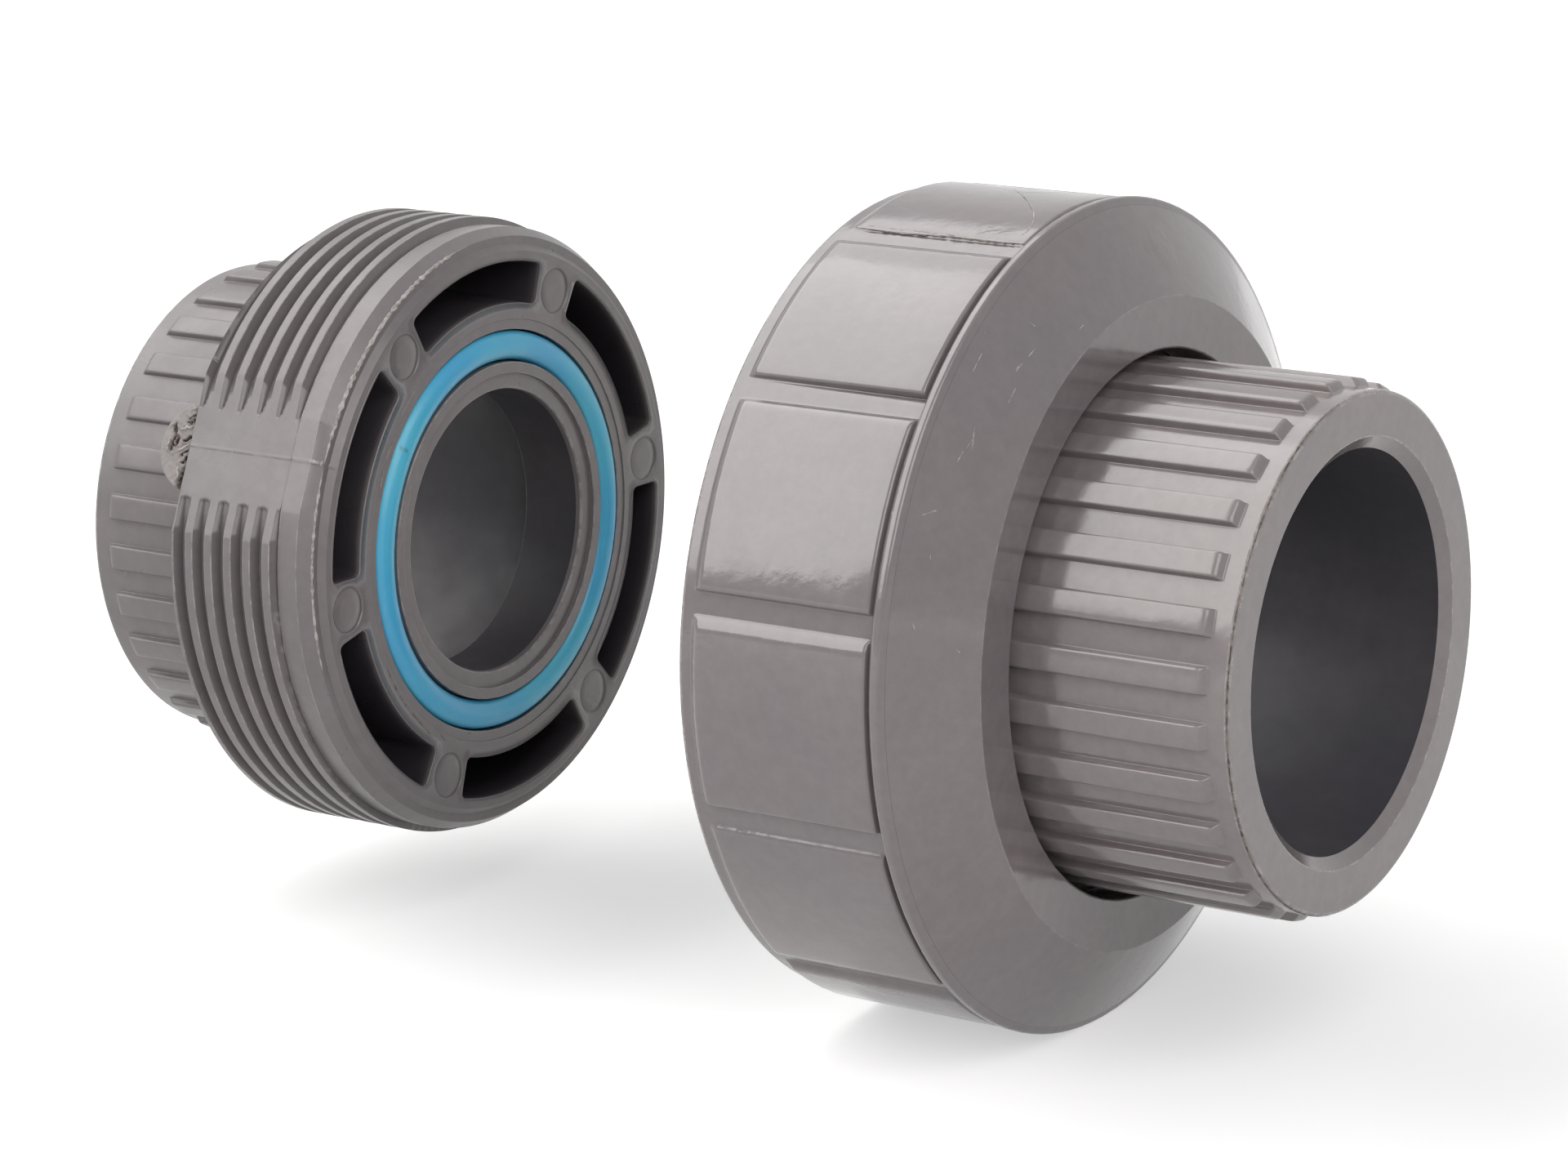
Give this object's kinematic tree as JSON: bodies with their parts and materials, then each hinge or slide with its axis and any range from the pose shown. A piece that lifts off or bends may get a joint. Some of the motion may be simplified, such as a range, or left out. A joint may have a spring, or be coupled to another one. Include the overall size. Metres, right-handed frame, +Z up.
{
  "type": "socket union",
  "caption": "Grey plastic socket union for solvent-cement pipe, standing open: threaded half with blue seal ring, plain socket end and ribbed union nut.",
  "frame": {"origin": "centre of the pipe stop in the threaded half, where its socket's wall ends", "axes": "+X along the flow axis from the threaded half toward the plain half, +Z up, the parting flats near the horizontal"},
  "size_m": [0.1672, 0.102, 0.102],
  "materials": {
    "threaded_grey": "satin moulded plastic",
    "seal_blue": "smooth elastomer",
    "plain_grey": "glossy moulded plastic",
    "nut_grey": "glossy moulded plastic"
  },
  "bodies": {
    "threaded_half": {"threaded_end": "threaded_grey", "o_ring": "seal_blue"},
    "plain_half": {"plain_end": "plain_grey"},
    "nut": {"union_nut": "nut_grey"}
  },
  "joints": [
    {"name": "plain_slide", "type": "slide", "parent": "threaded_half", "child": "plain_half", "axis": [1, 0, 0], "range_m": [-0.0823, 0]},
    {"name": "nut_turn", "type": "hinge", "parent": "plain_half", "child": "nut", "pos_m": [0.0929, 0, 0], "axis": [1, 0, 0], "range_deg": [-9557, 0]}
  ],
  "couplings": [
    {"joint": "plain_slide", "follows": "nut_turn", "m_per_rad": 0.00049338}
  ]
}
